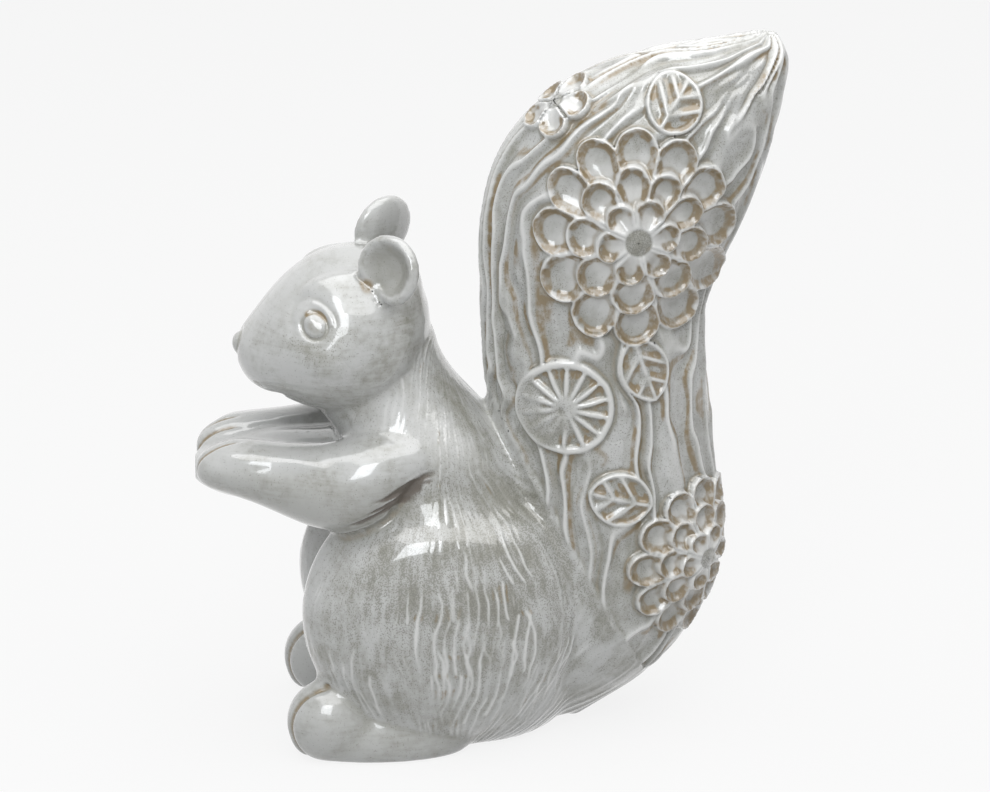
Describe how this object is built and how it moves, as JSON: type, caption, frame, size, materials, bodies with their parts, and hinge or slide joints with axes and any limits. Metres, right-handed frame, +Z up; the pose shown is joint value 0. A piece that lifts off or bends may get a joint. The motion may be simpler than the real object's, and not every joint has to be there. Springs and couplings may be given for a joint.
{
  "type": "squirrel figurine",
  "caption": "Glazed stoneware squirrel that sits up with its paws held out, its tall swept tail covered in relief flowers and leaves.",
  "frame": {"origin": "on the surface that the figurine rests on, under the middle of its box", "axes": "+Z up, the squirrel's face towards -Y, its left side towards +X, its middle plane at x = 0"},
  "size_m": [0.094, 0.1953, 0.2402],
  "materials": {
    "glaze": "gloss, semi-opaque grey-white glaze that breaks to ochre in the hollows, with fine olive specks",
    "sprig_glaze": "the same glaze, whiter on raised rims and ochre beside them",
    "eye_glaze": "the same glaze, pooled darker and greener"
  },
  "bodies": {
    "root": {"body_shell": "glaze", "head_shell": "glaze", "tail_shell": "glaze", "left_arm": "glaze", "right_arm": "glaze", "left_foot": "glaze", "right_foot": "glaze", "left_ear": "glaze", "right_ear": "glaze", "left_eye": "eye_glaze", "right_eye": "eye_glaze", "nose": "eye_glaze", "left_dahlia": "sprig_glaze", "right_dahlia": "sprig_glaze", "left_daisy": "sprig_glaze", "right_daisy": "sprig_glaze", "left_round_leaf": "sprig_glaze", "right_round_leaf": "sprig_glaze", "left_pointed_leaf": "sprig_glaze", "right_pointed_leaf": "sprig_glaze", "left_broad_leaf": "sprig_glaze", "right_broad_leaf": "sprig_glaze", "back_dahlia": "sprig_glaze", "blossom": "sprig_glaze"}
  },
  "joints": []
}
